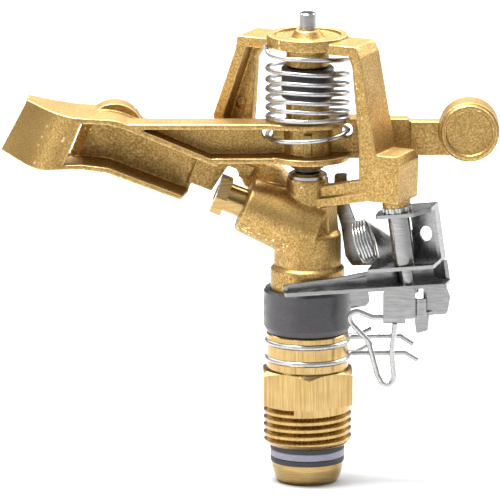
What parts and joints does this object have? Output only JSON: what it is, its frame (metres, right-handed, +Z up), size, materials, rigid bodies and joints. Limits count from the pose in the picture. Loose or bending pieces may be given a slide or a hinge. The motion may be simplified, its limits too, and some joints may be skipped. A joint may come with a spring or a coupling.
{
  "type": "impact sprinkler",
  "caption": "Part-circle brass impact sprinkler with a sprung drive arm, swivel inlet with male pipe thread, and a wire-tripped reversing mechanism.",
  "frame": {"origin": "on the vertical turning axis, 2.1 mm below the underside of the inlet's hexagon, 8.0 mm above the thread's lower end", "axes": "+Z up along the turning axis, the nozzle and drive arm point to -X and the arm's counterweight to +X at rest"},
  "size_m": [0.1185, 0.0313, 0.1139],
  "materials": {
    "cast_brass": "sand cast, matt and grainy",
    "machined_brass": "turned, bright",
    "stainless_sheet": "pressed sheet, satin",
    "stainless_bar": "drawn, satin",
    "bright_wire": "bright drawn wire",
    "black_plastic": "moulded, satin",
    "washer_plastic": "low-friction plastic",
    "seal_rubber": "matt"
  },
  "bodies": {
    "base": {"inlet_nipple": "machined_brass"},
    "upper_collar": {"upper_trip_collar": "bright_wire"},
    "lower_collar": {"lower_trip_collar": "bright_wire"},
    "head": {"bearing_tube": "machined_brass", "seal_washer_bottom": "seal_rubber", "seal_washer_middle": "washer_plastic", "seal_washer_top": "seal_rubber", "sand_collar": "black_plastic", "bearing_washer": "washer_plastic", "bearing_spring": "bright_wire", "body": "cast_brass", "nozzle": "machined_brass", "fulcrum_pin": "stainless_bar", "spring_sleeve": "black_plastic", "lower_arm_washer": "stainless_bar", "arm_spring": "bright_wire", "trip_pin": "stainless_bar", "trip_tube": "stainless_bar", "star_washer": "stainless_sheet", "trip_pin_clip": "stainless_sheet"},
    "drive_arm": {"arm": "cast_brass", "arm_bush": "washer_plastic"},
    "lever": {"trip_lever": "stainless_sheet"},
    "bracket": {"reversing_bracket": "stainless_sheet", "toggle_spring": "bright_wire"},
    "finger": {"trip_finger": "bright_wire"}
  },
  "joints": [
    {"name": "head_swivel", "type": "hinge", "parent": "base", "child": "head", "pos_m": [0, 0, 0], "axis": [0, 0, 1], "range_deg": [-285, 20]},
    {"name": "upper_collar_turn", "type": "hinge", "parent": "base", "child": "upper_collar", "pos_m": [0, 0, 0.017], "axis": [0, 0, 1], "range_deg": [0, 280]},
    {"name": "lower_collar_turn", "type": "hinge", "parent": "base", "child": "lower_collar", "pos_m": [0, 0, 0.0129], "axis": [0, 0, 1], "range_deg": [0, 280]},
    {"name": "arm_swing", "type": "hinge", "parent": "head", "child": "drive_arm", "pos_m": [0, 0, 0.066], "axis": [0, 0, 1], "range_deg": [0, 100], "stiffness_Nm_per_rad": 0.03, "springref_deg": -51.57, "deforming": ["arm_spring"]},
    {"name": "lever_trip", "type": "hinge", "parent": "head", "child": "lever", "pos_m": [0.0223, -0.0085, 0.0433], "axis": [-0.1392, 0, 0.9903], "range_deg": [0, 24]},
    {"name": "bracket_trip", "type": "hinge", "parent": "lever", "child": "bracket", "pos_m": [0.0223, -0.0085, 0.0433], "axis": [-0.1392, 0, 0.9903], "range_deg": [-36, 0]},
    {"name": "finger_flip", "type": "hinge", "parent": "lever", "child": "finger", "pos_m": [0.0206, -0.0099, 0.0246], "axis": [-1, 0, 0], "range_deg": [0, 65]}
  ],
  "couplings": [
    {"joint": "bracket_trip", "follows": "lever_trip", "ratio": -1.5}
  ]
}
